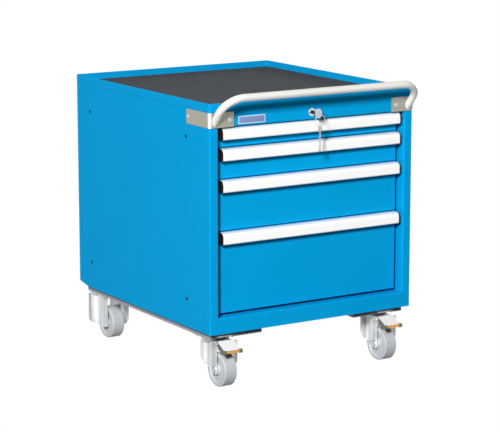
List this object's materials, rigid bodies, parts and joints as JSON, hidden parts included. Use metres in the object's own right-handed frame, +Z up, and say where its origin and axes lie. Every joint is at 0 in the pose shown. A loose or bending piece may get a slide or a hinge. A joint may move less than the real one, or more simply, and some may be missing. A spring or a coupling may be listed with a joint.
{
  "type": "mobile drawer cabinet",
  "caption": "Steel drawer cabinet on casters with full-width drawers, a rimmed mat-lined top, a push handle, a central key lock and braked front swivel casters.",
  "frame": {"origin": "at floor level under the middle of the overall bounding box", "axes": "+X to the right when facing the drawers, +Y from the front to the back, +Z up"},
  "size_m": [0.7104, 0.8725, 0.86],
  "materials": {
    "blue_paint": "satin powder coat, light blue",
    "zinc_sheet": "galvanised steel sheet",
    "mat_rubber": "matt ribbed rubber",
    "label_film": "matt film, bare",
    "bracket_steel": "satin nickel-plated steel",
    "screw_steel": "zinc-plated steel",
    "handle_paint": "satin light grey powder coat",
    "lock_chrome": "polished",
    "lock_zinc": "zinc-plated steel",
    "key_nickel": "nickel-plated, polished",
    "grip_aluminium": "satin anodised",
    "cap_plastic": "fine-grained moulding, black",
    "rail_paint": "satin dark grey paint",
    "caster_zinc": "bright zinc plating",
    "pedal_zinc": "yellow-passivated zinc",
    "wheel_polyamide": "light grey polyamide"
  },
  "bodies": {
    "cabinet": {"right_side_panel": "blue_paint", "left_side_panel": "blue_paint", "rear_panel": "blue_paint", "base_panel": "zinc_sheet", "top_tray": "blue_paint", "top_mat": "mat_rubber", "front_header": "blue_paint", "front_sill": "blue_paint", "runner_uprights": "zinc_sheet", "cabinet_rails": "zinc_sheet", "label_plate": "label_film", "handle_brackets": "bracket_steel", "bracket_screws": "screw_steel", "push_handle": "handle_paint", "lock_housing": "lock_chrome", "caster_rails": "rail_paint", "caster_bolts": "screw_steel", "front_caster_plates": "caster_zinc", "rear_caster_brackets": "caster_zinc", "rear_caster_axles": "screw_steel"},
    "drawer_1": {"drawer_1_tray": "zinc_sheet", "drawer_1_front": "blue_paint", "drawer_1_handle": "grip_aluminium", "drawer_1_handle_caps": "cap_plastic", "drawer_1_rails": "zinc_sheet"},
    "middle_rails_1": {"drawer_1_middle_rails": "zinc_sheet"},
    "drawer_2": {"drawer_2_tray": "zinc_sheet", "drawer_2_front": "blue_paint", "drawer_2_handle": "grip_aluminium", "drawer_2_handle_caps": "cap_plastic", "drawer_2_rails": "zinc_sheet"},
    "middle_rails_2": {"drawer_2_middle_rails": "zinc_sheet"},
    "drawer_3": {"drawer_3_tray": "zinc_sheet", "drawer_3_front": "blue_paint", "drawer_3_handle": "grip_aluminium", "drawer_3_handle_caps": "cap_plastic", "drawer_3_rails": "zinc_sheet"},
    "middle_rails_3": {"drawer_3_middle_rails": "zinc_sheet"},
    "drawer_4": {"drawer_4_tray": "zinc_sheet", "drawer_4_front": "blue_paint", "drawer_4_handle": "grip_aluminium", "drawer_4_handle_caps": "cap_plastic", "drawer_4_rails": "zinc_sheet"},
    "middle_rails_4": {"drawer_4_middle_rails": "zinc_sheet"},
    "lock_core": {"lock_plug": "lock_chrome", "lock_cam": "lock_zinc", "key": "key_nickel"},
    "hanging_keys": {"key_ring": "lock_chrome", "spare_key": "key_nickel"},
    "lock_bar": {"locking_bar": "zinc_sheet"},
    "front_left_swivel": {"front_left_fork": "caster_zinc", "front_left_axle": "screw_steel"},
    "front_left_wheel_set": {"front_left_wheel": "wheel_polyamide"},
    "front_left_pedal": {"front_left_brake_pedal": "pedal_zinc"},
    "rear_left_wheel_set": {"rear_left_wheel": "wheel_polyamide"},
    "front_right_swivel": {"front_right_fork": "caster_zinc", "front_right_axle": "screw_steel"},
    "front_right_wheel_set": {"front_right_wheel": "wheel_polyamide"},
    "front_right_pedal": {"front_right_brake_pedal": "pedal_zinc"},
    "rear_right_wheel_set": {"rear_right_wheel": "wheel_polyamide"}
  },
  "joints": [
    {"name": "drawer_1_slide", "type": "slide", "parent": "cabinet", "child": "drawer_1", "axis": [0, -1, 0], "range_m": [0, 0.65], "deforming": ["key_ring", "spare_key"]},
    {"name": "middle_rails_1_slide", "type": "slide", "parent": "cabinet", "child": "middle_rails_1", "axis": [0, -1, 0], "range_m": [0, 0.325]},
    {"name": "drawer_2_slide", "type": "slide", "parent": "cabinet", "child": "drawer_2", "axis": [0, -1, 0], "range_m": [0, 0.65], "deforming": ["key_ring", "spare_key"]},
    {"name": "middle_rails_2_slide", "type": "slide", "parent": "cabinet", "child": "middle_rails_2", "axis": [0, -1, 0], "range_m": [0, 0.325]},
    {"name": "drawer_3_slide", "type": "slide", "parent": "cabinet", "child": "drawer_3", "axis": [0, -1, 0], "range_m": [0, 0.65]},
    {"name": "middle_rails_3_slide", "type": "slide", "parent": "cabinet", "child": "middle_rails_3", "axis": [0, -1, 0], "range_m": [0, 0.325]},
    {"name": "drawer_4_slide", "type": "slide", "parent": "cabinet", "child": "drawer_4", "axis": [0, -1, 0], "range_m": [0, 0.65]},
    {"name": "middle_rails_4_slide", "type": "slide", "parent": "cabinet", "child": "middle_rails_4", "axis": [0, -1, 0], "range_m": [0, 0.325]},
    {"name": "lock_turn", "type": "hinge", "parent": "cabinet", "child": "lock_core", "pos_m": [-0.0075, -0.36525, 0.782], "axis": [0, 1, 0], "range_deg": [0, 90]},
    {"name": "lock_bar_slide", "type": "slide", "parent": "cabinet", "child": "lock_bar", "axis": [0, 0, -1], "range_m": [0, 0.01]},
    {"name": "hanging_keys_swing", "type": "hinge", "parent": "lock_core", "child": "hanging_keys", "pos_m": [-0.0075, -0.40675, 0.782], "axis": [1, 0, 0], "range_deg": [-40, 12]},
    {"name": "front_left_swivel_turn", "type": "hinge", "parent": "cabinet", "child": "front_left_swivel", "pos_m": [-0.282, -0.28025, 0.1365], "axis": [0, 0, 1], "continuous": true},
    {"name": "front_left_wheel_roll", "type": "hinge", "parent": "front_left_swivel", "child": "front_left_wheel_set", "pos_m": [-0.282, -0.31825, 0.05], "axis": [1, 0, 0], "continuous": true},
    {"name": "front_left_pedal_press", "type": "hinge", "parent": "front_left_swivel", "child": "front_left_pedal", "pos_m": [-0.282, -0.33425, 0.13], "axis": [1, 0, 0], "range_deg": [0, 12]},
    {"name": "rear_left_wheel_roll", "type": "hinge", "parent": "cabinet", "child": "rear_left_wheel_set", "pos_m": [-0.282, 0.35575, 0.05], "axis": [1, 0, 0], "continuous": true},
    {"name": "front_right_swivel_turn", "type": "hinge", "parent": "cabinet", "child": "front_right_swivel", "pos_m": [0.282, -0.28025, 0.1365], "axis": [0, 0, 1], "continuous": true},
    {"name": "front_right_wheel_roll", "type": "hinge", "parent": "front_right_swivel", "child": "front_right_wheel_set", "pos_m": [0.282, -0.31825, 0.05], "axis": [1, 0, 0], "continuous": true},
    {"name": "front_right_pedal_press", "type": "hinge", "parent": "front_right_swivel", "child": "front_right_pedal", "pos_m": [0.282, -0.33425, 0.13], "axis": [1, 0, 0], "range_deg": [0, 12]},
    {"name": "rear_right_wheel_roll", "type": "hinge", "parent": "cabinet", "child": "rear_right_wheel_set", "pos_m": [0.282, 0.35575, 0.05], "axis": [1, 0, 0], "continuous": true}
  ],
  "couplings": [
    {"joint": "middle_rails_1_slide", "follows": "drawer_1_slide", "ratio": 0.5},
    {"joint": "middle_rails_2_slide", "follows": "drawer_2_slide", "ratio": 0.5},
    {"joint": "middle_rails_3_slide", "follows": "drawer_3_slide", "ratio": 0.5},
    {"joint": "middle_rails_4_slide", "follows": "drawer_4_slide", "ratio": 0.5},
    {"joint": "lock_bar_slide", "follows": "lock_turn", "m_per_rad": 0.0063662}
  ]
}
